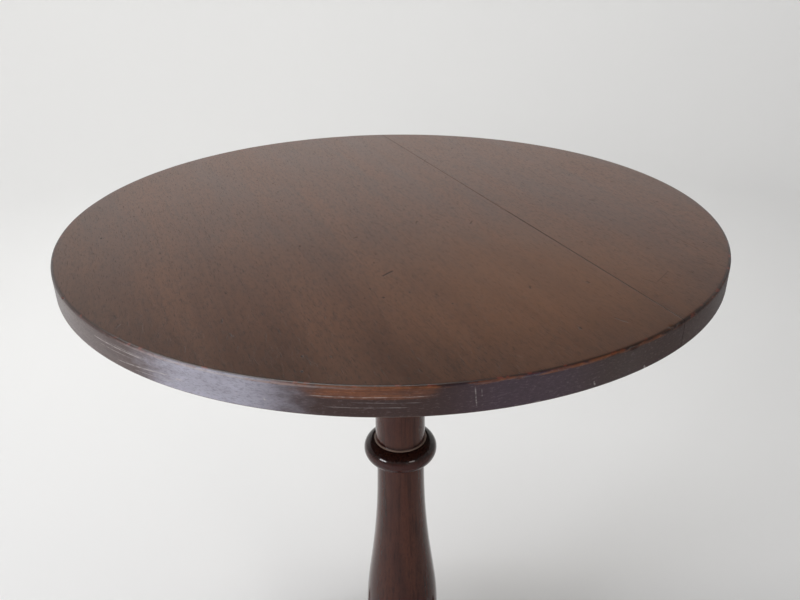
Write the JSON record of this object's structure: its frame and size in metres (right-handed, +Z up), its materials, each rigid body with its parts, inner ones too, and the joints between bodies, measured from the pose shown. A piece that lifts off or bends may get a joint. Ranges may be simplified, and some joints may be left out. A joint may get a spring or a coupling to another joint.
{
  "type": "tilt top table",
  "caption": "Round tilt-top tripod table: a level mahogany top that tips upright about pins at the back of its block, on a turned column with cabriole legs.",
  "frame": {"origin": "on the floor, straight below the middle of the round top", "axes": "+Z up; +X along the grain, the seam of the top and the pivot pins; +Y to the back, where the pins are; the catch is at -Y"},
  "size_m": [0.6, 0.6, 0.72],
  "materials": {
    "polished_mahogany_top": "french polished, worn",
    "turned_mahogany": "french polished",
    "plain_mahogany": "unpolished, darkened with age",
    "oak": "unpolished",
    "aged_brass": "dull, aged",
    "steel_screws": "dull",
    "spring_steel": "blued",
    "wrought_iron": "blackened"
  },
  "bodies": {
    "base": {"block": "plain_mahogany", "pivot_pin_left": "oak", "pivot_pin_right": "oak", "tenon_wedge": "oak", "column": "turned_mahogany", "leg_back": "turned_mahogany", "leg_front_left": "turned_mahogany", "leg_front_right": "turned_mahogany", "spider_plate": "wrought_iron", "spider_screw_1": "steel_screws", "spider_screw_2": "steel_screws", "spider_screw_3": "steel_screws", "spider_screw_4": "steel_screws", "spider_screw_5": "steel_screws", "spider_screw_6": "steel_screws", "keep_plate": "aged_brass", "keep_screw_1": "aged_brass", "keep_screw_2": "aged_brass"},
    "top": {"top_board_wide": "polished_mahogany_top", "top_board_narrow": "polished_mahogany_top", "bearer_left": "plain_mahogany", "bearer_screw_left_1": "steel_screws", "bearer_screw_left_2": "steel_screws", "bearer_screw_left_3": "steel_screws", "bearer_screw_left_4": "steel_screws", "bearer_right": "plain_mahogany", "bearer_screw_right_1": "steel_screws", "bearer_screw_right_2": "steel_screws", "bearer_screw_right_3": "steel_screws", "bearer_screw_right_4": "steel_screws", "catch_plate": "aged_brass", "catch_case": "aged_brass", "catch_screw_1": "aged_brass", "catch_screw_2": "aged_brass", "catch_screw_3": "aged_brass", "catch_screw_4": "aged_brass"},
    "catch": {"catch_bolt": "aged_brass", "catch_knob": "aged_brass", "catch_leaf_spring": "spring_steel"}
  },
  "joints": [
    {"name": "top_tilt", "type": "hinge", "parent": "base", "child": "top", "pos_m": [0, 0.0775, 0.683], "axis": [-1, 0, 0], "range_deg": [0, 90]},
    {"name": "catch_slide", "type": "slide", "parent": "top", "child": "catch", "axis": [0, 1, 0], "range_m": [0, 0.009]}
  ]
}
